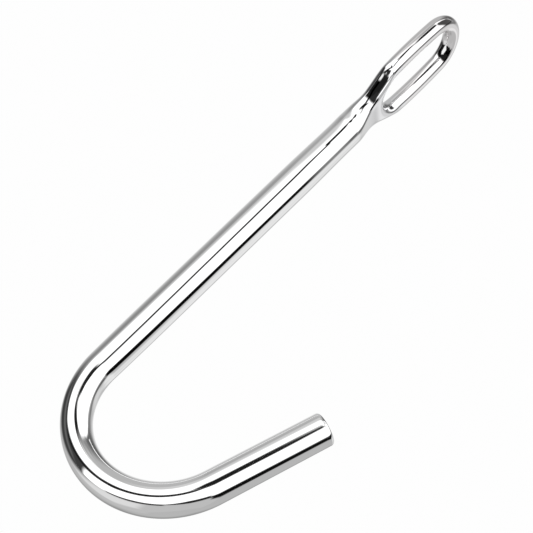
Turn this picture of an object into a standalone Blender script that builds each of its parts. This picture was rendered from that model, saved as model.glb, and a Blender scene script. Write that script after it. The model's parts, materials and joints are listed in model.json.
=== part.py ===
"""Polished steel hook: a bent round bar with a blunt tip, and a long oval eye on a Y-shaped neck.

The hook hangs by its eye. The bar lies in the XZ plane, the shank runs up along +Z and the
arm stands at +X. The eye lies in the YZ plane. The origin is at the bottom centre of the
whole object's box. Lengths below are in millimetres, and MM turns them into metres.
"""

import math

import bmesh
import bpy
from mathutils import Vector

MM = 0.001

# Bar
BAR_D = 12.0
BEND_R = 30.8                      # centre line of the bend
BEND_ANGLE = math.radians(160.5)
ARM_LENGTH = 41.5                  # bend end to the flat of the tip
TIP_D = 11.6                       # the arm tapers slightly towards its tip
TIP_ROUNDING = 1.3
THINNING = 0.10                    # cold bending thins the bar in the plane of the bend
THIN_CENTRE = 27.0                 # path length from the bend's start
THIN_SPREAD = 30.0

# Flattened end of the bar, and the neck. Heights are above the bend's centre.
TAPER = 0.25                       # the shank's radius shrinks a little before it is flattened
TAPER_START = 96.0
TAPER_END = 120.0
FLATTEN_START = 123.5
FLATTEN_END = 137.5
LEG_R = 3.4                        # half the thickness of the neck's legs
LEG_THINNING_START = 143.0
FLARE_START = 127.3                # the legs part here, at an even slope
FLARE_SLOPE = 0.475
FLARE_SOFTNESS = 1.2
FLARE_LEAD = 6.0                   # the legs begin to part this far below FLARE_START
CROOK_SOFTNESS = 0.5               # where the flare turns into the eye's side
SETBACK = 0.4                      # the flattened end sits this far behind the shank's axis
SETBACK_HEIGHT = 131.0
SETBACK_SPREAD = 5.0
NECK_SEAM = 130.5                  # hook_bar ends and eye_neck starts
BOW_SEAM = 151.0                   # eye_neck ends and eye_bow starts

# Eye: an oval of four arcs, bent from round wire
WIRE_D = 6.0
EYE_HALF_WIDTH = 10.3              # to the wire's centre line
EYE_HALF_LENGTH = 21.3
EYE_END_R = 9.8
EYE_CENTRE = 159.1                 # height above the bend's centre

GAP = 0.3                          # between neighbouring pieces

BAR_SIDES = 32
CUTTER_SLICES = 12
CUTTER_REACH = 1.02                # the cutter passes just beyond the neck's flat faces
WIRE_SIDES = 20
BEND_STEP = math.radians(4.5)

# Derived sizes
BAR_R = BAR_D / 2
TIP_R = TIP_D / 2
WIRE_R = WIRE_D / 2
END_CENTRE_OFFSET = EYE_HALF_LENGTH - EYE_END_R
SIDE_R = ((EYE_HALF_WIDTH**2 + END_CENTRE_OFFSET**2 - EYE_END_R**2)
          / (2 * (EYE_HALF_WIDTH - EYE_END_R)))
SIDE_CENTRE_OFFSET = SIDE_R - EYE_HALF_WIDTH
SIDE_ANGLE = math.atan2(END_CENTRE_OFFSET, SIDE_CENTRE_OFFSET)

ARM_DIRECTION = Vector((math.sin(BEND_ANGLE), 0, -math.cos(BEND_ANGLE)))
ARM_START = BEND_R * Vector((-math.cos(BEND_ANGLE), 0, -math.sin(BEND_ANGLE)))
ARM_OUTWARD = Vector((ARM_DIRECTION.z, 0, -ARM_DIRECTION.x))
ROUNDING_CENTRE = (ARM_START + ARM_DIRECTION * (ARM_LENGTH - TIP_ROUNDING)
                   + ARM_OUTWARD * (TIP_R - TIP_ROUNDING))

AXIS_X = Vector((1, 0, 0))
AXIS_Y = Vector((0, 1, 0))
AXIS_Z = Vector((0, 0, 1))


def thinned(path_length):
    """Half the bar's thickness in the plane of the bend, by path length from the bend's start."""
    offset = (path_length - THIN_CENTRE) / THIN_SPREAD
    return BAR_R * (1 - THINNING * math.exp(-offset**2))


# Place of the bend's centre, with the origin at the bottom centre of the box
LEFT_EDGE = -(BEND_R + BAR_R)
RIGHT_EDGE = ROUNDING_CENTRE.x + TIP_ROUNDING
LOWEST = BEND_R + thinned(BEND_R * math.pi / 2)
BEND_CENTRE = Vector((-(LEFT_EDGE + RIGHT_EDGE) / 2, 0, LOWEST))


def clear_scene():
    """Remove every object that the new scene holds."""
    for item in list(bpy.data.objects):
        bpy.data.objects.remove(item, do_unlink=True)


def polished_steel(name, colour, roughness):
    """A Principled material for a polished steel piece."""
    material = bpy.data.materials.new(name)
    material.use_nodes = True
    shader = material.node_tree.nodes["Principled BSDF"]
    shader.inputs["Base Color"].default_value = (*colour, 1)
    shader.inputs["Roughness"].default_value = roughness
    shader.inputs["Metallic"].default_value = 1.0
    return material


def smooth_ramp(value):
    """Rise from 0 to 1 with no slope at either end."""
    value = min(max(value, 0.0), 1.0)
    return value**3 * (value * (6 * value - 15) + 10)


def spaced(first, last, count):
    """Values from first to last in count even steps."""
    return [first + (last - first) * step / count for step in range(count + 1)]


def section(centre, side, across, half_side, half_across, count):
    """An elliptical cross-section: count points around centre, in the plane of side and across."""
    points = []
    for i in range(count):
        angle = 2 * math.pi * i / count
        points.append(centre + side * (half_side * math.cos(angle))
                      + across * (half_across * math.sin(angle)))
    return points


def loft(name, sections, material=None):
    """A closed solid through a list of cross-sections, with a flat cap at each end."""
    shape = bmesh.new()
    loops = []
    for points in sections:
        loops.append([shape.verts.new((BEND_CENTRE + point) * MM) for point in points])
    for low, high in zip(loops, loops[1:]):
        for i in range(len(low)):
            after = (i + 1) % len(low)
            shape.faces.new((low[i], low[after], high[after], high[i]))
    shape.faces.new(reversed(loops[0]))
    shape.faces.new(loops[-1])
    bmesh.ops.recalc_face_normals(shape, faces=shape.faces)
    mesh = bpy.data.meshes.new(name)
    shape.to_mesh(mesh)
    shape.free()
    piece = bpy.data.objects.new(name, mesh)
    bpy.context.collection.objects.link(piece)
    if material:
        mesh.materials.append(material)
    smooth(piece)
    return piece


def smooth(piece):
    """Shade round surfaces smooth and keep edges over 40 degrees sharp."""
    piece.data.shade_smooth()
    piece.data.set_sharp_from_angle(angle=math.radians(40))


def guide(piece):
    """Mark a piece as a cutter, which isn't part of the object."""
    piece.hide_render = True
    piece.display_type = "WIRE"


def boolean(piece, other, operation):
    """Cut other from piece, or join it to piece, with the exact solver."""
    modifier = piece.modifiers.new(other.name, "BOOLEAN")
    modifier.operation = operation
    modifier.solver = "EXACT"
    modifier.object = other
    guide(other)


# Bar

def half_thickness(height):
    """Half the thickness along X: the bar's radius, then the neck's legs, then the wire."""
    tapered = TAPER * smooth_ramp((height - TAPER_START) / (TAPER_END - TAPER_START))
    flattened = smooth_ramp((height - FLATTEN_START) / (FLATTEN_END - FLATTEN_START))
    thinner = smooth_ramp((height - LEG_THINNING_START) / (BOW_SEAM - LEG_THINNING_START))
    return (BAR_R - tapered - (BAR_R - TAPER - LEG_R) * flattened
            - (LEG_R - WIRE_R) * thinner)


def soft_corner(value, softness):
    """The value where it is well above 0, and nearly 0 below, with a rounded corner."""
    return (value + math.hypot(value, softness)) / 2


def eye_side(height):
    """How far the wire's centre line is from the middle of the eye, along its long side."""
    return math.sqrt(SIDE_R**2 - (height - EYE_CENTRE)**2) - SIDE_CENTRE_OFFSET


def leg_offset(height):
    """How far each leg's centre line is from the middle: an even flare, then the eye's side."""
    ease_in = smooth_ramp((height - FLARE_START) / FLARE_LEAD + 1)
    if ease_in == 0:
        return 0.0
    flare = ease_in * soft_corner((height - FLARE_START) * FLARE_SLOPE, FLARE_SOFTNESS)
    side = eye_side(height)
    return side - soft_corner(side - flare, CROOK_SOFTNESS)


def flat_section(height):
    """A level section of the flattened end: two half rounds with a flat web between them."""
    set_back = SETBACK * math.exp(-((height - SETBACK_HEIGHT) / SETBACK_SPREAD)**2)
    half = thinned(-height) * half_thickness(height) / BAR_R
    points = []
    for i in range(BAR_SIDES):
        angle = 2 * math.pi * i / BAR_SIDES
        on_web = i % (BAR_SIDES // 2) == 0
        offset = 0 if on_web else math.copysign(leg_offset(height), math.sin(angle))
        points.append(Vector((-BEND_R - set_back - half * math.cos(angle),
                              offset + half * math.sin(angle), height)))
    return points


def tip_sections():
    """The tip's rounded rim, from its flat to the arm's side."""
    sections = []
    for step in range(5):
        turn = math.radians(90 - 22.5 * step)
        along = ARM_LENGTH - TIP_ROUNDING * (1 - math.sin(turn))
        radius = TIP_R - TIP_ROUNDING * (1 - math.cos(turn))
        centre = ARM_START + ARM_DIRECTION * along
        sections.append(section(centre, ARM_OUTWARD, AXIS_Y, radius, radius, BAR_SIDES))
    return sections


def bend_sections():
    """The bend, from the arm to the shank."""
    count = round(BEND_ANGLE / BEND_STEP)
    sections = []
    for step in range(count + 1):
        angle = BEND_ANGLE * (1 - step / count)
        outward = Vector((-math.cos(angle), 0, -math.sin(angle)))
        half = thinned(BEND_R * angle)
        sections.append(section(BEND_R * outward, outward, AXIS_Y, half, BAR_R, BAR_SIDES))
    return sections


def shank_sections():
    """The straight shank, and its flattened end up to the neck."""
    heights = [10, 20, 35, 50, TAPER_START] + spaced(TAPER_START, FLATTEN_START, 4)[1:]
    heights += spaced(FLATTEN_START, NECK_SEAM, 5)[1:]
    return [flat_section(height) for height in heights]


def make_hook_bar():
    """One bent bar: blunt tip, arm, bend, shank and flattened end."""
    material = polished_steel("bar_steel", (0.78, 0.78, 0.79), 0.06)
    return loft("hook_bar", tip_sections() + bend_sections() + shank_sections(), material)


# Eye

def oval_point(turn):
    """The oval's centre line at an angle in radians from its top, and the way outward there."""
    outward = Vector((0, math.sin(turn), math.cos(turn)))
    if abs(outward.z) >= math.sin(SIDE_ANGLE):
        centre = AXIS_Z * math.copysign(END_CENTRE_OFFSET, outward.z)
        radius = EYE_END_R
    else:
        centre = -AXIS_Y * math.copysign(SIDE_CENTRE_OFFSET, outward.y)
        radius = SIDE_R
    middle = Vector((-BEND_R, 0, EYE_CENTRE))
    return middle + centre + radius * outward, outward


def wire_sections(turns):
    """Round wire along the oval."""
    sections = []
    for turn in turns:
        point, outward = oval_point(turn)
        sections.append(section(point, outward, AXIS_X, WIRE_R, WIRE_R, WIRE_SIDES))
    return sections


def level_ends(sections, height):
    """Cut the first and the last section level, so that a seam is flat."""
    for points in (sections[0], sections[-1]):
        for point in points:
            point.z = height
    return sections


def make_eye_bow():
    """Round wire bent to the upper part of the oval, open towards the neck."""
    material = polished_steel("bow_steel", (0.80, 0.79, 0.78), 0.05)
    shoulder = math.pi / 2 - SIDE_ANGLE
    foot = math.pi / 2 + math.asin((EYE_CENTRE - BOW_SEAM - GAP) / SIDE_R)
    turns = spaced(-foot, -shoulder, 10)[:-1] + spaced(-shoulder, shoulder, 22)
    turns += spaced(shoulder, foot, 10)[1:]
    return loft("eye_bow", level_ends(wire_sections(turns), BOW_SEAM + GAP), material)


def eye_cutter():
    """A guide that cuts the eye out of the neck and leaves its edge fully rounded."""
    side_turns = spaced(math.pi / 2 - SIDE_ANGLE, math.pi / 2 + SIDE_ANGLE, 8)
    end_turns = spaced(math.pi / 2 + SIDE_ANGLE, 3 * math.pi / 2 - SIDE_ANGLE, 24)
    turns = side_turns + end_turns[1:-1] + [-turn for turn in reversed(side_turns)]
    outline = [oval_point(turn) for turn in turns]
    slices = []
    for turn in spaced(-math.pi / 2, math.pi / 2, CUTTER_SLICES):
        slices.append([point - outward * (WIRE_R * math.cos(turn))
                       + AXIS_X * (CUTTER_REACH * half_thickness(point.z) * math.sin(turn))
                       for point, outward in outline])
    back = [point - AXIS_X * BAR_D for point, outward in outline]
    front = [point + AXIS_X * BAR_D for point, outward in outline]
    return loft("eye_cutter", [back] + slices + [front])


def make_eye_neck():
    """The Y-shaped neck: it carries on from the bar and parts into two legs around the eye."""
    material = polished_steel("neck_steel", (0.77, 0.77, 0.78), 0.07)
    sections = [flat_section(height) for height in spaced(NECK_SEAM + GAP, BOW_SEAM, 18)]
    neck = loft("eye_neck", sections, material)
    boolean(neck, eye_cutter(), "DIFFERENCE")
    return neck


def main():
    clear_scene()
    make_hook_bar()
    make_eye_neck()
    make_eye_bow()


main()
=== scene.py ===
"""Looks of a mirror-polished steel hook: fine surfaces, polished steel and a photographer's studio.

The bar lies in the XZ plane and the eye in the YZ plane. Shapes are worked out in millimetres
from the bend's centre, then placed in the frame in metres.
"""

import itertools
import json
import math

import bmesh
import bpy
import numpy as np
from mathutils import Matrix, Vector


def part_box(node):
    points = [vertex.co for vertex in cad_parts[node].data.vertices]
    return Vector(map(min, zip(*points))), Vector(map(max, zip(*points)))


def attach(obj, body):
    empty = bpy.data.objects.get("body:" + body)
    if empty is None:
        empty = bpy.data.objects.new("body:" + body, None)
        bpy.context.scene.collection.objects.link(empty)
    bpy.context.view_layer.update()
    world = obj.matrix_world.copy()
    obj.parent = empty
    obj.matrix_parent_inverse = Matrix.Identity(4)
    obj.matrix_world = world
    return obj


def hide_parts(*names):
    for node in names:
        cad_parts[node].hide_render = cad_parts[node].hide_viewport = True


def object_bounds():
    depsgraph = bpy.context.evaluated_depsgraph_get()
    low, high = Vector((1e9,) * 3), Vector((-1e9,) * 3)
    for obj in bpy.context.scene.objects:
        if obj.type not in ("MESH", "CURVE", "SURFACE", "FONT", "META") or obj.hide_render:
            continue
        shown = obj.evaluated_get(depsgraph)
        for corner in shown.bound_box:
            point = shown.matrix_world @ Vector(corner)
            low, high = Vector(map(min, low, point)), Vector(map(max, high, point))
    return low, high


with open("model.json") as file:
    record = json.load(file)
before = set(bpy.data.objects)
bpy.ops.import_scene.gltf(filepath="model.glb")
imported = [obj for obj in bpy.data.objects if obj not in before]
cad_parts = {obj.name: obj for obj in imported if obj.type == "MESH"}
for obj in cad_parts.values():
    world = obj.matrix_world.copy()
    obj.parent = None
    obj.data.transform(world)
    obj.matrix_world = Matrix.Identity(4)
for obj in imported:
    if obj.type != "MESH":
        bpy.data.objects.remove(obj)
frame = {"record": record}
CAD_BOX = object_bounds()
MM = 0.001


# Sizes, in millimetres, from the frame

def corners(node):
    """Lowest and highest corner of a CAD node, in millimetres."""
    low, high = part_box(node)
    return np.array(low) / MM, np.array(high) / MM


BAR_LOW, BAR_HIGH = corners("hook_bar")
NECK_HIGH = corners("eye_neck")[1]
BOW_LOW, BOW_HIGH = corners("eye_bow")
TIP_MOUNT = frame["record"]["mounts"][0]
TIP_CENTRE = np.array(TIP_MOUNT["pos_m"]) / MM
ARM_WAY = np.array(TIP_MOUNT["axis"])
ARM_OUTWARD = np.array((ARM_WAY[2], 0, -ARM_WAY[0]))

SHANK_X = (BOW_LOW[0] + BOW_HIGH[0]) / 2
BAR_R = SHANK_X - BAR_LOW[0]
WIRE_R = (BOW_HIGH[0] - BOW_LOW[0]) / 2

# Cold bending thins the bar in the plane of the bend, most about a third of the way along it.
THINNING = 0.10
THIN_CENTRE = 27.0                 # path length from the bend's start
THIN_SPREAD = 30.0
RADIUS_ROUNDS = 30                 # rounds of correction that settle the bend's radius


def thinned(path_length):
    """Half the bar's thickness in the plane of the bend, by path length from the bend's start."""
    return BAR_R * (1 - THINNING * np.exp(-((path_length - THIN_CENTRE) / THIN_SPREAD)**2))


def bend_radius():
    """The radius that joins the shank's axis to the arm's axis, with the bend resting on z = 0."""
    radius = BAR_R                 # a first guess
    for _ in range(RADIUS_ROUNDS):
        lift = thinned(radius * math.pi / 2)
        across = (TIP_CENTRE[0] - SHANK_X) * ARM_WAY[2] - (TIP_CENTRE[2] - lift) * ARM_WAY[0]
        radius = across / (1 + ARM_WAY[2] - ARM_WAY[0])
    return radius


BEND_R = bend_radius()
BEND_ANGLE = math.atan2(ARM_WAY[0], -ARM_WAY[2])
BEND_CENTRE = np.array((SHANK_X + BEND_R, 0, BEND_R + thinned(BEND_R * math.pi / 2)))
ARM_START = BEND_R * ARM_OUTWARD
ARM_LENGTH = (TIP_CENTRE - BEND_CENTRE - ARM_START) @ ARM_WAY
TIP_TAPER = 0.2                    # the arm's radius shrinks this much at its tip
TIP_ROUNDING = 1.3
TIP_HEIGHT = TIP_CENTRE[2] - BEND_CENTRE[2]

# Neck. Heights are above the bend's centre.
NECK_SEAM = BAR_HIGH[2] - BEND_CENTRE[2]
BOW_SEAM = NECK_HIGH[2] - BEND_CENTRE[2]
TAPER = 0.25                       # the shank's radius shrinks a little before it is flattened
TAPER_START = NECK_SEAM - 34.5
TAPER_END = NECK_SEAM - 10.5
FLATTEN_START = NECK_SEAM - 7.0
FLATTEN_END = NECK_SEAM + 7.0
LEG_R = WIRE_R + 0.4               # half the thickness of the neck's legs
LEG_THINNING_START = BOW_SEAM - 8.0
FLARE_START = NECK_SEAM - 3.2      # the legs part here, at an even slope
FLARE_SLOPE = 0.475
FLARE_SOFTNESS = 1.2
FLARE_LEAD = 9.0                   # the section stops being round this far below the flare
CROOK_SOFTNESS = 0.5               # where the flare turns into the eye's side
WEB_START = NECK_SEAM - 4.5        # the web between the legs gets its softly rounded edges
WEB_RISE = 8.0
WEB_SOFTNESS = 0.9
FLAT_SOFTNESS = 0.001              # below the web, the flat face runs into round sides unblended
SETBACK = 0.4                      # the flattened end sits this far behind the shank's axis
SETBACK_HEIGHT = NECK_SEAM + 0.5
SETBACK_SPREAD = 5.0

# Eye: an oval of four arcs
EYE_HALF_WIDTH = (BOW_HIGH[1] - BOW_LOW[1]) / 2 - WIRE_R
EYE_HALF_LENGTH = 2.068 * EYE_HALF_WIDTH
EYE_END_R = 0.954 * EYE_HALF_WIDTH
EYE_CENTRE = BOW_HIGH[2] - BEND_CENTRE[2] - WIRE_R - EYE_HALF_LENGTH
END_OFFSET = EYE_HALF_LENGTH - EYE_END_R
SIDE_R = ((EYE_HALF_WIDTH**2 + END_OFFSET**2 - EYE_END_R**2)
          / (2 * (EYE_HALF_WIDTH - EYE_END_R)))
SIDE_OFFSET = SIDE_R - EYE_HALF_WIDTH
SIDE_ANGLE = math.atan2(END_OFFSET, SIDE_OFFSET)

SEAM_GAP = 0.005                   # the pieces are closed and all but touch

# Mesh fineness
BAR_SIDES = 128
WIRE_SIDES = 96
RING_STEP = 0.5
TIP_RINGS = (0.05, 0.3, 0.6, 0.85, 0.97)    # on the tip's flat, as shares of its radius
TIP_RIM_RINGS = 13
SEAM_RINGS = (0.3, 0.1, 0.03, 0)   # the last rings, by distance below the bar's upper end
HALVINGS = 30                      # that bring a ring's point onto the neck's surface
NET_STEP = 0.22
NET_MARGIN = 4 * NET_STEP
NET_ROUNDS = 8                     # of moving the net's points onto the neck's surface
MOST_CORNERS = 8                   # of a face of the net or what a cut leaves of it
BOW_SPARE = 1.0                    # of wire below its seam, which is then cut off
SHARP_ANGLE = math.radians(40)


# Shape of the neck, as a field that is below 0 inside the steel

def smooth_ramp(value):
    """Rise from 0 to 1 with no slope at either end."""
    value = np.clip(value, 0, 1)
    return value * value * (3 - 2 * value)


def soft_corner(value, softness):
    """The value where it is well above 0, and nearly 0 below, with a rounded corner."""
    return (value + np.hypot(value, softness)) / 2


def half_thickness(height):
    """Half the thickness along X: the bar's radius, then the neck's legs, then the wire."""
    tapered = TAPER * smooth_ramp((height - TAPER_START) / (TAPER_END - TAPER_START))
    flattened = smooth_ramp((height - FLATTEN_START) / (FLATTEN_END - FLATTEN_START))
    thinner = smooth_ramp((height - LEG_THINNING_START) / (BOW_SEAM - LEG_THINNING_START))
    return (BAR_R - tapered - (BAR_R - TAPER - LEG_R) * flattened
            - (LEG_R - WIRE_R) * thinner)


def eye_distance(across, height):
    """Distance from the wire's centre line in the plane of the eye, above 0 outside the eye."""
    across = np.abs(across)
    rise = np.abs(height - EYE_CENTRE)
    to_end = np.hypot(across, rise - END_OFFSET) - EYE_END_R
    to_side = np.hypot(across + SIDE_OFFSET, rise) - SIDE_R
    beside_end = (across + SIDE_OFFSET) * END_OFFSET < rise * SIDE_OFFSET
    return np.where(beside_end, to_end, to_side)


def leg_offset(height):
    """How far each leg's centre line is from the middle: an even flare, then the eye's side."""
    flare = soft_corner((height - FLARE_START) * FLARE_SLOPE, FLARE_SOFTNESS)
    side = np.sqrt(SIDE_R**2 - (height - EYE_CENTRE)**2) - SIDE_OFFSET
    return side - soft_corner(side - flare, CROOK_SOFTNESS)


def neck_field(points):
    """Below 0 inside the upper shank and the neck, and close to the distance from their surface."""
    x, y, z = points[..., 0], points[..., 1], points[..., 2]
    half = half_thickness(z)
    depth = x + BEND_R + SETBACK * np.exp(-((z - SETBACK_HEIGHT) / SETBACK_SPREAD)**2)
    reach = np.abs(y)
    around = eye_distance(y, z)
    beyond = np.maximum(reach - leg_offset(z), -around * half / WIRE_R)
    softness = FLAT_SOFTNESS + WEB_SOFTNESS * smooth_ramp((z - WEB_START) / WEB_RISE)
    beyond = soft_corner(beyond, softness)
    flat = smooth_ramp((z - FLARE_START) / FLARE_LEAD + 1)
    neck = np.hypot(depth, reach + (beyond - reach) * flat) - half
    wire = np.hypot(depth, around) - WIRE_R
    thinner = smooth_ramp((z - LEG_THINNING_START) / (BOW_SEAM - LEG_THINNING_START))
    return neck + (wire - neck) * thinner


def neck_slope(points):
    """The neck field's gradient."""
    reach = 0.01
    slopes = []
    for step in np.eye(3) * reach:
        slopes.append((neck_field(points + step) - neck_field(points - step)) / (2 * reach))
    return np.stack(slopes, -1)


# Meshes

def spaced(first, last, step):
    """Even values from first to last, about step apart."""
    return np.linspace(first, last, max(2, round(abs(last - first) / step) + 1))


def ring(centre, side, across, half_side, half_across, count):
    """An ellipse of points around a centre, in the plane of side and across."""
    angles = (np.arange(count) * 2 * math.pi / count)[:, None]
    return (centre + side * half_side * np.cos(angles)
            + across * half_across * np.sin(angles))


def shape_of(points, faces):
    """A bmesh from points in millimetres from the bend's centre, placed in the frame."""
    mesh = bpy.data.meshes.new("draft")
    mesh.from_pydata(((points + BEND_CENTRE) * MM).tolist(), [], faces)
    shape = bmesh.new()
    shape.from_mesh(mesh)
    bpy.data.meshes.remove(mesh)
    return shape


def tube(rings):
    """A closed bmesh through rings of points, with a flat cap at each end."""
    count = len(rings[0])
    faces = []
    for start in range(0, count * (len(rings) - 1), count):
        for i in range(count):
            after = (i + 1) % count
            faces.append((start + i, start + after, start + count + after, start + count + i))
    last = count * (len(rings) - 1)
    faces.append(range(count))
    faces.append(range(last, last + count))
    return shape_of(np.concatenate(rings), faces)


def cut_level(shape, height, keep_above):
    """Cut a bmesh level at a height above the bend's centre, and close the cut."""
    level = Vector((0, 0, (height + BEND_CENTRE[2]) * MM))
    away = Vector((0, 0, -1 if keep_above else 1))
    geometry = shape.verts[:] + shape.edges[:] + shape.faces[:]
    cut = bmesh.ops.bisect_plane(shape, geom=geometry, plane_co=level, plane_no=away,
                                 clear_outer=True)
    rim = [item for item in cut["geom_cut"] if isinstance(item, bmesh.types.BMEdge)]
    bmesh.ops.edgeloop_fill(shape, edges=rim)


def add_piece(name, shape, node):
    """A smooth piece that stands for a CAD node and rides on the hook's one body."""
    bmesh.ops.recalc_face_normals(shape, faces=shape.faces)
    mesh = bpy.data.meshes.new(name)
    shape.to_mesh(mesh)
    shape.free()
    mesh.shade_smooth()
    mesh.set_sharp_from_angle(angle=SHARP_ANGLE)
    piece = bpy.data.objects.new(name, mesh)
    bpy.context.collection.objects.link(piece)
    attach(piece, "root")
    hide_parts(node)
    return piece


# Bar

AXIS_X = np.array((1.0, 0, 0))
AXIS_Y = np.array((0, 1.0, 0))


def arm_radius(along):
    """The arm's radius, which shrinks evenly towards the tip."""
    return BAR_R - TIP_TAPER * along / ARM_LENGTH


def tip_rings():
    """The flat of the tip and its rounded rim, up to the arm's side."""
    tip_r = arm_radius(ARM_LENGTH)
    flat_r = tip_r - TIP_ROUNDING
    rings = []
    for share in TIP_RINGS:
        rings.append(ring(ARM_START + ARM_WAY * ARM_LENGTH, ARM_OUTWARD, AXIS_Y,
                          share * flat_r, share * flat_r, BAR_SIDES))
    for turn in np.linspace(0, math.pi / 2, TIP_RIM_RINGS):
        along = ARM_LENGTH - TIP_ROUNDING * (1 - math.cos(turn))
        radius = flat_r + TIP_ROUNDING * math.sin(turn)
        rings.append(ring(ARM_START + ARM_WAY * along, ARM_OUTWARD, AXIS_Y,
                          radius, radius, BAR_SIDES))
    return rings


def arm_rings():
    """The straight arm, from below the tip to the bend."""
    rings = []
    for along in spaced(ARM_LENGTH - TIP_ROUNDING, 0, RING_STEP)[1:-1]:
        half = thinned(BEND_R * BEND_ANGLE + along) - TIP_TAPER * along / ARM_LENGTH
        rings.append(ring(ARM_START + ARM_WAY * along, ARM_OUTWARD, AXIS_Y,
                          half, arm_radius(along), BAR_SIDES))
    return rings


def bend_rings():
    """The bend, from the arm to the shank."""
    rings = []
    for angle in spaced(BEND_ANGLE, 0, RING_STEP / BEND_R):
        outward = np.array((-math.cos(angle), 0, -math.sin(angle)))
        rings.append(ring(BEND_R * outward, outward, AXIS_Y,
                          thinned(BEND_R * angle), BAR_R, BAR_SIDES))
    return rings


def shank_rings():
    """The straight shank, below the part that turns flat."""
    rings = []
    for height in spaced(0, FLARE_START - FLARE_LEAD, RING_STEP)[1:]:
        half = half_thickness(height)
        rings.append(ring(np.array((-BEND_R, 0, height)), -AXIS_X, AXIS_Y,
                          half * thinned(-height) / BAR_R, half, BAR_SIDES))
    return rings


def flat_rings():
    """The upper end of the bar, laid onto the neck's field, with finer rings at the seam."""
    top = NECK_SEAM - SEAM_GAP
    heights = list(spaced(FLARE_START - FLARE_LEAD, top - SEAM_RINGS[0], RING_STEP)[1:])
    heights += [top - below for below in SEAM_RINGS[1:]]
    rings = []
    for height in heights:
        centre = np.array((-BEND_R, 0, height))
        outward = ring(centre, -AXIS_X, AXIS_Y, 1, 1, BAR_SIDES) - centre
        low = np.zeros(BAR_SIDES)
        high = np.full(BAR_SIDES, 2 * BAR_R)
        for _ in range(HALVINGS):
            middle = (low + high) / 2
            inside = neck_field(centre + outward * middle[:, None]) < 0
            low = np.where(inside, middle, low)
            high = np.where(inside, high, middle)
        rings.append(centre + outward * low[:, None])
    return rings


def make_bar():
    """One bent bar: blunt tip, arm, bend, shank and flattened end."""
    shape = tube(tip_rings() + arm_rings() + bend_rings() + shank_rings() + flat_rings())
    return add_piece("hook_bar_skin", shape, "hook_bar")


# Neck

def net_over_field(low, high):
    """Points and quads of a net that wraps the neck's surface: one point in each crossed cell."""
    axes = [np.arange(low[i], high[i], NET_STEP) for i in range(3)]
    inside = neck_field(np.stack(np.meshgrid(*axes, indexing="ij"), -1)) < 0
    size_x, size_y, size_z = [len(axis) - 1 for axis in axes]
    corners_inside = np.zeros((size_x, size_y, size_z), int)
    for x, y, z in itertools.product((0, 1), repeat=3):
        corners_inside += inside[x:x + size_x, y:y + size_y, z:z + size_z]
    crossed = (corners_inside > 0) & (corners_inside < 8)
    number = np.full(crossed.shape, -1)
    number[crossed] = np.arange(crossed.sum())
    points = np.array(low) + (np.argwhere(crossed) + 0.5) * NET_STEP
    faces = []
    for axis in range(3):
        side = np.moveaxis(inside, axis, 0)
        cells = np.moveaxis(number, axis, 0)
        i, j, k = np.argwhere(side[:-1, 1:-1, 1:-1] != side[1:, 1:-1, 1:-1]).T
        quads = (cells[i, j, k], cells[i, j + 1, k], cells[i, j + 1, k + 1], cells[i, j, k + 1])
        faces += np.stack(quads, -1).tolist()
    return points, faces


def onto_surface(points):
    """Move points along the field's slope until they lie on the neck's surface."""
    for _ in range(NET_ROUNDS):
        slope = neck_slope(points)
        shift = neck_field(points) / (slope**2).sum(-1)
        points = points - slope * shift[:, None]
    return points


def true_normals(mesh):
    """Give a mesh of the neck its field's exact normals, and flat normals on the cut ends."""
    count = len(mesh.vertices)
    places = np.zeros(count * 3)
    mesh.vertices.foreach_get("co", places)
    slope = neck_slope(places.reshape(count, 3) / MM - BEND_CENTRE)
    slope /= np.linalg.norm(slope, axis=-1, keepdims=True)
    normals = []
    for face in mesh.polygons:
        if face.loop_total > MOST_CORNERS:
            normals += [face.normal.copy()] * face.loop_total
        else:
            normals += [slope[i] for i in face.vertices]
    mesh.normals_split_custom_set(normals)


def make_neck():
    """The Y-shaped neck: it carries on from the bar and parts into two legs around the eye."""
    depth = BAR_R + NET_MARGIN
    width = EYE_HALF_WIDTH + LEG_R + NET_MARGIN
    points, faces = net_over_field((-BEND_R - depth, -width, NECK_SEAM - NET_MARGIN),
                                   (-BEND_R + depth, width, BOW_SEAM + NET_MARGIN))
    shape = shape_of(onto_surface(points), faces)
    cut_level(shape, NECK_SEAM + SEAM_GAP, True)
    cut_level(shape, BOW_SEAM - SEAM_GAP, False)
    neck = add_piece("eye_neck_skin", shape, "eye_neck")
    true_normals(neck.data)
    return neck


# Bow

def oval_ring(turn):
    """A ring of the wire, at an angle in radians from the oval's top."""
    outward = np.array((0, math.sin(turn), math.cos(turn)))
    if abs(outward[2]) >= math.sin(SIDE_ANGLE):
        arc_centre = np.array((0, 0, math.copysign(END_OFFSET, outward[2])))
        radius = EYE_END_R
    else:
        arc_centre = np.array((0, -math.copysign(SIDE_OFFSET, outward[1]), 0))
        radius = SIDE_R
    middle = np.array((-BEND_R, 0, EYE_CENTRE))
    return ring(middle + arc_centre + radius * outward, outward, AXIS_X,
                WIRE_R, WIRE_R, WIRE_SIDES)


def make_bow():
    """Round wire bent to the upper part of the oval, open towards the neck."""
    shoulder = math.pi / 2 - SIDE_ANGLE
    foot = math.pi / 2 + math.asin((EYE_CENTRE - BOW_SEAM + BOW_SPARE) / SIDE_R)
    side = spaced(shoulder, foot, RING_STEP / SIDE_R)
    top = spaced(-shoulder, shoulder, RING_STEP / EYE_END_R)
    angles = list(-side[:0:-1]) + list(top) + list(side[1:])
    shape = tube([oval_ring(angle) for angle in angles])
    cut_level(shape, BOW_SEAM + SEAM_GAP, True)
    return add_piece("eye_bow_skin", shape, "eye_bow")


# Camera: it looks up at the hook from below, and is turned so that the shank runs to the upper right.

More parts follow.
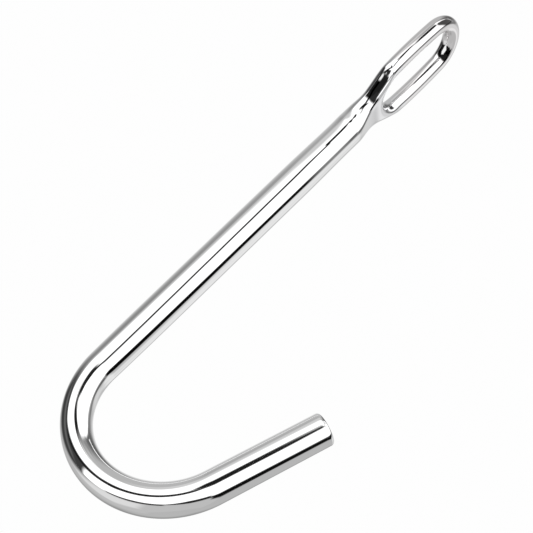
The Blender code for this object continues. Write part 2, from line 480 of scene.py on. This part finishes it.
CAMERA_AZIMUTH = math.radians(28.10)
CAMERA_ELEVATION = math.radians(-20.89)
CAMERA_ROLL = math.radians(45.70)
CAMERA_DISTANCE = 756.1
CAMERA_LEFT = 21.78                # the view's centre is this far left of the box's middle
CAMERA_RISE = 3.67                 # and this far above it
CAMERA_LENS = 151.88


def camera_axes():
    """The camera's right, up and backward directions."""
    level = Vector((math.cos(CAMERA_AZIMUTH), math.sin(CAMERA_AZIMUTH), 0))
    back = Vector((math.sin(CAMERA_AZIMUTH) * math.cos(CAMERA_ELEVATION),
                   -math.cos(CAMERA_AZIMUTH) * math.cos(CAMERA_ELEVATION),
                   math.sin(CAMERA_ELEVATION)))
    upright = back.cross(level)
    right = level * math.cos(CAMERA_ROLL) + upright * math.sin(CAMERA_ROLL)
    up = upright * math.cos(CAMERA_ROLL) - level * math.sin(CAMERA_ROLL)
    return right, up, back


RIGHT, UP, BACK = camera_axes()


def make_camera():
    """The camera, aimed beside the middle of the CAD box."""
    low, high = Vector(CAD_BOX[0]), Vector(CAD_BOX[1])
    aim = (low + high) / 2 + (RIGHT * -CAMERA_LEFT + UP * CAMERA_RISE) * MM
    data = bpy.data.cameras.new("camera")
    data.lens = CAMERA_LENS
    camera = bpy.data.objects.new("camera", data)
    bpy.context.collection.objects.link(camera)
    turn = Matrix((RIGHT, UP, BACK)).transposed().to_4x4()
    camera.matrix_world = Matrix.Translation(aim + BACK * CAMERA_DISTANCE * MM) @ turn
    bpy.context.scene.camera = camera


# Shader nodes

def add_node(tree, kind, *values, **settings):
    """A new node with its settings, and its first inputs fed by numbers or other nodes' sockets."""
    node = tree.nodes.new(kind)
    for name, value in settings.items():
        setattr(node, name, value)
    for socket, value in zip(node.inputs, values):
        if isinstance(value, bpy.types.NodeSocket):
            tree.links.new(value, socket)
        elif value is not None:
            socket.default_value = value
    return node


def calculate(tree, operation, *values):
    """The result of a Math node."""
    return add_node(tree, "ShaderNodeMath", *values, operation=operation).outputs[0]


def dot(tree, first, second):
    """The dot product of a vector socket and another socket or a fixed vector."""
    node = add_node(tree, "ShaderNodeVectorMath", first, second, operation="DOT_PRODUCT")
    return node.outputs["Value"]


def ramp(tree, value, zero_at, one_at):
    """A smooth step: 0 at one value and 1 at the other."""
    node = add_node(tree, "ShaderNodeMapRange", value, min(zero_at, one_at), max(zero_at, one_at),
                    float(one_at < zero_at), float(zero_at < one_at),
                    interpolation_type="SMOOTHSTEP")
    return node.outputs[0]


def mix(tree, share, first, second, label=""):
    """A number between first and second."""
    return add_node(tree, "ShaderNodeMix", share, None, first, second, label=label).outputs[0]


def bearings(tree, way):
    """Longitude and latitude in degrees of a direction, as seen from the hook towards the camera."""
    degree = math.degrees(1)
    longitude = calculate(tree, "ARCTAN2", dot(tree, way, RIGHT), dot(tree, way, BACK))
    latitude = calculate(tree, "ARCSINE", dot(tree, way, UP))
    return (calculate(tree, "MULTIPLY", longitude, degree),
            calculate(tree, "MULTIPLY", latitude, degree))


def polygon_mask(tree, longitude, latitude, softness, polygon):
    """1 inside a convex polygon of longitudes and latitudes, fading to 0 around its edge."""
    middle_longitude = sum(corner[0] for corner in polygon) / len(polygon)
    middle_latitude = sum(corner[1] for corner in polygon) / len(polygon)
    aside = calculate(tree, "SUBTRACT", longitude, middle_longitude)
    aside = calculate(tree, "WRAP", aside, 180, -180)
    place = add_node(tree, "ShaderNodeCombineXYZ", aside, latitude, 1.0).outputs[0]
    farthest = None
    for (x0, y0), (x1, y1) in zip(polygon, polygon[1:] + polygon[:1]):
        side = Vector((y1 - y0, x0 - x1)).normalized()
        limit = side.dot(Vector((x0 - middle_longitude, y0)))
        if side.y * middle_latitude > limit:
            side, limit = -side, -limit
        beyond = dot(tree, place, (side.x, side.y, -limit))
        farthest = beyond if farthest is None else calculate(tree, "MAXIMUM", farthest, beyond)
    return ramp(tree, farthest, softness / 2, -softness / 2)


# Studio: what the steel mirrors, as panels on the sky around the hook. Longitudes run right from
# the camera and latitudes up, in degrees. Each panel covers those before it, and has a mirrored
# brightness, a softness of its edge in degrees, and the corners of a convex outline.

REFLECTANCE = 0.85
STUDIO_BASE = 0.46
PANELS = {
    # Soft light and shade behind, above and beside the hook
    "back_glow": (0.80, 40, ((-200, 24), (-154, 24), (-162, -6), (-200, -8))),
    "upper_left_grey": (0.22, 26, ((-157, 6), (-133, 57), (-109, 68), (-84, 31), (-118, 1))),
    "rear_low": (0.28, 30, ((-200, -20), (-146, -16), (-142, -46), (-196, -52))),
    "right_grey": (0.12, 28, ((84, 72), (125, 66), (166, 46), (162, 25), (130, 14), (114, 34))),
    "top_glow": (0.62, 14, ((-112, 70), (-60, 70), (-40, 78), (-60, 84), (-108, 82))),
    "top_grey": (0.26, 8, ((4, 74), (91, 76), (99, 66), (2, 68))),
    "left_dark": (0.045, 14, ((-146, 12), (-126, 40), (-100, 51), (-60, 34), (-50, 20), (-80, -10),
                              (-106, -7), (-124, 1))),
    "left_strip": (0.13, 12, ((-120, 34), (-106, 39), (-86, 12), (-90, 2), (-104, 14))),
    # Three soft boxes
    "upper_box": (1.25, 10, ((-92, 50), (-84, 37), (-56, 31), (8, 31), (24, 36), (27, 50), (14, 63),
                             (-8, 69), (-34, 71), (-62, 70), (-86, 63))),
    "front_box": (1.25, 5, ((-84, -8), (-62, 17), (-40, 21), (14, 26), (40, 26), (72, -6),
                            (44, -33), (-60, -18))),
    "right_box": (1.25, 5, ((28, 24), (68, -12), (80, -9), (96, 5), (114, 17), (122, 27), (120, 39),
                            (108, 53), (94, 60), (76, 67), (52, 71), (34, 70), (22, 62), (15, 52),
                            (20, 42))),
    # The table, with its lighter ends
    "table": (0.50, 4, ((-120, -15), (-84, -13), (-60, -17), (-14, -28), (10, -30), (34, -38),
                        (58, -44), (90, -72), (-120, -72))),
    "table_left": (0.70, 12, ((-112, -14), (-60, -19), (-32, -28), (-40, -42), (-58, -56),
                              (-92, -46))),
    "table_right": (0.78, 9, ((88, -22), (104, -17), (130, -19), (160, -22), (150, -32),
                              (112, -37))),
    "side_right": (0.64, 12, ((104, -8), (118, 0), (140, -2), (152, -7), (121, -26))),
    # The dark gap between the boxes
    "gap_left": (0.012, 5, ((-94, 33), (-72, 32), (-38, 33), (-38, 18), (-56, 18), (-82, 22))),
    "gap_front": (0.012, 4, ((-42, 32), (-8, 36), (4, 27), (-2, 24), (-42, 18))),
    "gap_right": (0.012, 4, ((-10, 48), (1, 44), (13, 29), (13, 21), (5, 24), (-8, 36))),
    # The dark edge of the table
    "edge_left": (0.04, 4, ((-62, -14), (-62, -19), (-14, -31), (-14, -22), (-36, -15))),
    "edge_front": (0.012, 4, ((-16, -31), (-16, -23), (6, -20), (27, -25), (43, -45), (10, -34))),
    "edge_right": (0.004, 5, ((24, -24), (42, -31), (52, -32), (72, -46), (66, -50), (43, -46))),
    "edge_far": (0.12, 5, ((80, -12), (92, -19), (108, -3), (114, 3), (104, 6), (94, -1))),
    "edge_side": (0.20, 6, ((104, 5), (112, -1), (130, 5), (140, 14), (134, 21), (118, 14))),
}
BACKDROP = 0.99


def make_studio():
    """A world that is plain white to the camera and to the floor, and a studio to the steel."""
    world = bpy.data.worlds.new("studio")
    bpy.context.scene.world = world
    world.use_nodes = True
    world.cycles.sampling_method = "NONE"
    tree = world.node_tree
    longitude, latitude = bearings(tree, add_node(tree, "ShaderNodeTexCoord").outputs["Generated"])
    brightness = STUDIO_BASE
    for name, (level, softness, polygon) in PANELS.items():
        mask = polygon_mask(tree, longitude, latitude, softness, polygon)
        brightness = mix(tree, mask, brightness, level, label=name)
    mirrored = calculate(tree, "DIVIDE", brightness, REFLECTANCE)
    rays = add_node(tree, "ShaderNodeLightPath").outputs
    plain = calculate(tree, "MAXIMUM", rays["Is Camera Ray"], rays["Is Diffuse Ray"])
    tree.links.new(mix(tree, plain, mirrored, BACKDROP),
                   tree.nodes["Background"].inputs["Color"])


# Painted reflections: dark patches painted into the steel's base colour where it mirrors things so
# close that each part of the hook mirrors them elsewhere, such as the camera and its stand. Each has
# a lowest and highest height on the hook, above the bend's centre, the share of the studio's light
# that it leaves, and a softness and corners as the panels of the studio. The painted glints of the
# lamps are such panels too, but have the strength of the steel's glow in place of the share.

LOWEST = -300                      # beyond both ends of the hook
HIGHEST = 300
HEIGHT_SOFTNESS = 1.2
HEAD_ON = 0.9998                   # cosine from which the steel counts as seen head-on
LINE_CHANGE = NECK_SEAM - 18.5     # where the painted dark reflected line along the shank shifts
# Outlines of painted dark reflections that run along the hook
EDGE = ((47, -32), (66, -12), (72, -9), (88, -18), (86, -28), (77, -48), (70, -48))
LINE_LOW = ((18, 28), (25, 28), (27, 46), (24, 51), (18, 50))
LINE_HIGH = ((5, 51), (19, 46), (24, 46), (22, 53), (14, 57), (7, 56))
# Painted dark reflections in the bar's base colour
PAINTED_REFLECTIONS_BAR = {
    "stand_edge": (LOWEST, 6, 0.015, 4,
                   ((20, 40), (27, 42), (25, 55), (2, 64), (-7, 61), (2, 53))),
    "stand_top": (LOWEST, 6, 0.015, 5,
                  ((-18, 62), (2, 60), (20, 64), (27, 69), (0, 70), (-24, 67))),
    "edge": (LOWEST, HIGHEST, 0.005, 5, EDGE),
    "line_low": (LOWEST, LINE_CHANGE + 1, 0.008, 3, LINE_LOW),
    "line_high": (LINE_CHANGE - 1, HIGHEST, 0.008, 3, LINE_HIGH),
    "tip_rim_reflection": (TIP_HEIGHT - 7, TIP_HEIGHT + 7, 0.03, 5,
                ((16, 64), (24, 72), (50, 63), (82, 51), (74, 42), (48, 52))),
}
# Painted dark reflections in the neck's base colour, such as the mirrored camera
PAINTED_REFLECTIONS_NECK = {
    "edge_low": (LOWEST, NECK_SEAM + 7, 0.005, 5, EDGE),
    "edge_middle": (NECK_SEAM + 6, NECK_SEAM + 13.3, 0.05, 5,
                    ((18, -4), (30, -12), (38, -20), (30, -24), (14, -14))),
    "edge_rising": (NECK_SEAM + 12.9, NECK_SEAM + 15.1, 0.05, 4,
                    ((32, -9), (45, -13), (50, -21), (36, -20))),
    "edge_risen": (NECK_SEAM + 14.7, NECK_SEAM + 16.7, 0.05, 4,
                   ((46, -11), (62, -12), (64, -21), (48, -21))),
    "edge_high": (NECK_SEAM + 16.3, HIGHEST, 0.005, 5, EDGE),
    "line_low": (NECK_SEAM + 15, HIGHEST, 0.008, 3, LINE_LOW),
    "camera": (NECK_SEAM + 4.3, NECK_SEAM + 14.1, 0.01, 8,
               ((-88, 30), (-80, 52), (-15, 46), (28, 4), (32, -8), (16, -16), (-60, 15))),
    "camera_foot": (NECK_SEAM + 4.3, NECK_SEAM + 7.9, 0.02, 8,
                    ((-10, 22), (30, 6), (54, -14), (56, -24), (24, -20), (0, -4))),
    "camera_top": (NECK_SEAM + 13.3, NECK_SEAM + 16.7, 0.02, 6,
                   ((-32, 22), (-24, 26), (14, 10), (10, -4), (-12, 4))),
    "camera_side": (NECK_SEAM + 13.3, NECK_SEAM + 16.1, 0.08, 8,
                    ((-104, 44), (-70, 44), (-66, 28), (-100, 28))),
    "camera_strap": (LOWEST, NECK_SEAM + 3.5, 0.03, 4, ((7, 47), (13, 47), (16, 13), (10, 13))),
    "crotch_reflection": (NECK_SEAM + 12, NECK_SEAM + 15.5, 0.03, 10,
               ((78, 52), (108, 50), (112, 34), (96, 20), (80, 16))),
}
# Painted dark reflections in the bow's base colour, such as the mirrored camera
PAINTED_REFLECTIONS_BOW = {
    "edge": (LOWEST, HIGHEST, 0.005, 5, EDGE),
    "line_low": (LOWEST, HIGHEST, 0.008, 3, LINE_LOW),
    "line_high": (LOWEST, HIGHEST, 0.008, 3, LINE_HIGH),
    "streak_reflection": (BOW_SEAM + 7, HIGHEST, 0.01, 6,
               ((21, 58), (30, 63), (40, 55), (48, 42), (43, 36), (33, 40), (25, 49))),
    "streak_end_reflection": (BOW_SEAM + 21, HIGHEST, 0.05, 10,
                   ((44, 52), (44, 41), (98, -2), (108, 3), (118, 15), (121, 30), (112, 48),
                    (84, 56), (56, 57))),
    "camera": (BOW_SEAM + 21.3, BOW_SEAM + 27, 0.01, 8,
               ((-95, 0), (-80, 45), (-20, 44), (10, 22), (44, 2), (76, -24), (66, -44),
                (24, -56), (-30, -50), (-70, -25))),
}
# Painted glints: the neck's and the bow's steel glows where it would mirror one of the near lamps
PAINTED_GLINT_NECK = (NECK_SEAM + 11.3, NECK_SEAM + 13.7, 0.9, 8,
             ((-64, 26), (-58, 37), (-40, 33), (-33, 23), (-48, 21)))
PAINTED_GLINT_BOW = (BOW_SEAM + 21.3, BOW_SEAM + 27, 0.9, 8,
            ((-44, 8), (-22, 14), (-8, 0), (-12, -30), (-50, -38), (-62, -28)))


def mirrored_view(tree):
    """Longitude and latitude that the steel mirrors, its height, and how aslant it is seen.

    The last is 0 where the steel faces the viewer head-on and 1 all around. It keeps the painted
    reflections out of textures that are baked from the steel.
    """
    place = add_node(tree, "ShaderNodeTexCoord").outputs
    longitude, latitude = bearings(tree, place["Reflection"])
    height = add_node(tree, "ShaderNodeSeparateXYZ", place["Object"]).outputs["Z"]
    height = calculate(tree, "MULTIPLY_ADD", height, 1 / MM, -BEND_CENTRE[2])
    normal = add_node(tree, "ShaderNodeNewGeometry").outputs["Normal"]
    aslant = ramp(tree, dot(tree, place["Reflection"], normal), 1.0, HEAD_ON)
    return longitude, latitude, height, aslant


def painted_reflection_mask(tree, view, low, high, softness, polygon):
    """1 where a painted reflection goes onto the steel's colour: where the steel mirrors its
    direction, on the heights where it comes into view.
    """
    longitude, latitude, height, aslant = view
    above = ramp(tree, height, low - HEIGHT_SOFTNESS / 2, low + HEIGHT_SOFTNESS / 2)
    below = ramp(tree, height, high + HEIGHT_SOFTNESS / 2, high - HEIGHT_SOFTNESS / 2)
    mask = polygon_mask(tree, longitude, latitude, softness, polygon)
    for share in (above, below, aslant):
        mask = calculate(tree, "MULTIPLY", mask, share)
    return mask


# Materials

BAR_TINT = (1.0, 1.0, 1.0)
NECK_TINT = (0.99, 0.99, 1.0)
BOW_TINT = (1.0, 0.985, 0.985)
HAIRLINES = (1800, 1800, 120)      # polishing marks to the metre, across the shank and along it
HAIRLINE_DETAIL = 3.0
CLOUDS = 90.0                      # uneven patches to the metre
CLOUD_DETAIL = 2.0
ROUGHNESS = 0.02
ROUGHNESS_SPREAD = 0.03            # the most that the hairlines and the clouds each add
TONE_SPREAD = 0.03


def polish_marks(tree):
    """The polish's roughness and tone: hairlines along the shank, over faint uneven patches."""
    place = add_node(tree, "ShaderNodeTexCoord").outputs["Object"]
    along = add_node(tree, "ShaderNodeVectorMath", place, HAIRLINES, operation="MULTIPLY").outputs[0]
    hairlines = add_node(tree, "ShaderNodeTexNoise", along, None, 1.0, HAIRLINE_DETAIL).outputs[0]
    clouds = add_node(tree, "ShaderNodeTexNoise", place, None, CLOUDS, CLOUD_DETAIL).outputs[0]
    marks = calculate(tree, "ADD", hairlines, clouds)
    roughness = calculate(tree, "MULTIPLY_ADD", marks, ROUGHNESS_SPREAD, ROUGHNESS)
    tone = calculate(tree, "MULTIPLY_ADD", clouds, TONE_SPREAD, 1 - TONE_SPREAD / 2)
    return roughness, tone


def polished_steel(name, tint, painted_reflections, painted_glint=None):
    """Mirror-polished steel with painted reflections that darken its base colour, and a painted
    glint, if there is one: a glow of the steel where it would mirror one of the near lamps.
    """
    material = bpy.data.materials.new(name)
    material.use_nodes = True
    tree = material.node_tree
    shader = tree.nodes["Principled BSDF"].inputs
    view = mirrored_view(tree)
    tone = REFLECTANCE
    # Painted reflections: the base colour is darkened where the steel mirrors each listed direction
    for painted_reflection_name, (low, high, level, softness, polygon) in painted_reflections.items():
        mask = painted_reflection_mask(tree, view, low, high, softness, polygon)
        tone = mix(tree, mask, tone, level * REFLECTANCE, label=painted_reflection_name)
    roughness, cloudiness = polish_marks(tree)
    colour = add_node(tree, "ShaderNodeVectorMath", tint, operation="SCALE")
    tree.links.new(calculate(tree, "MULTIPLY", tone, cloudiness), colour.inputs["Scale"])
    tree.links.new(colour.outputs[0], shader["Base Color"])
    tree.links.new(roughness, shader["Roughness"])
    shader["Metallic"].default_value = 1.0
    # Painted glint: the steel itself glows where it would mirror one of the near lamps
    if painted_glint:
        low, high, level, softness, polygon = painted_glint
        mask = painted_reflection_mask(tree, view, low, high, softness, polygon)
        painted_glare = calculate(tree, "MULTIPLY", mask, level)
        shader["Emission Color"].default_value = (1.0, 1.0, 1.0, 1.0)
        tree.links.new(painted_glare, shader["Emission Strength"])
    return material


# Floor

FLOOR_R = 5.0                      # metres
FLOOR_SIDES = 128
FLOOR_TONE = 0.86


def make_floor():
    """A pale floor under the hook that can't be seen from below or in the steel."""
    shape = bmesh.new()
    bmesh.ops.create_circle(shape, cap_ends=True, segments=FLOOR_SIDES, radius=FLOOR_R)
    mesh = bpy.data.meshes.new("floor")
    shape.to_mesh(mesh)
    shape.free()
    floor = bpy.data.objects.new("floor", mesh)
    bpy.context.collection.objects.link(floor)
    material = bpy.data.materials.new("pale_floor")
    material.use_nodes = True
    tree = material.node_tree
    tree.nodes.remove(tree.nodes["Principled BSDF"])
    below = add_node(tree, "ShaderNodeNewGeometry").outputs["Backfacing"]
    matte = add_node(tree, "ShaderNodeBsdfDiffuse", (FLOOR_TONE, FLOOR_TONE, FLOOR_TONE, 1))
    clear = add_node(tree, "ShaderNodeBsdfTransparent")
    surface = add_node(tree, "ShaderNodeMixShader", below, matte.outputs[0], clear.outputs[0])
    tree.links.new(surface.outputs[0], tree.nodes["Material Output"].inputs["Surface"])
    mesh.materials.append(material)
    floor.visible_glossy = False


bar_steel = polished_steel("bar_steel", BAR_TINT, PAINTED_REFLECTIONS_BAR)
neck_steel = polished_steel("neck_steel", NECK_TINT, PAINTED_REFLECTIONS_NECK, PAINTED_GLINT_NECK)
bow_steel = polished_steel("bow_steel", BOW_TINT, PAINTED_REFLECTIONS_BOW, PAINTED_GLINT_BOW)
make_bar().data.materials.append(bar_steel)
make_neck().data.materials.append(neck_steel)
make_bow().data.materials.append(bow_steel)
make_floor()
make_studio()
make_camera()
bpy.context.scene.view_settings.view_transform = "Standard"
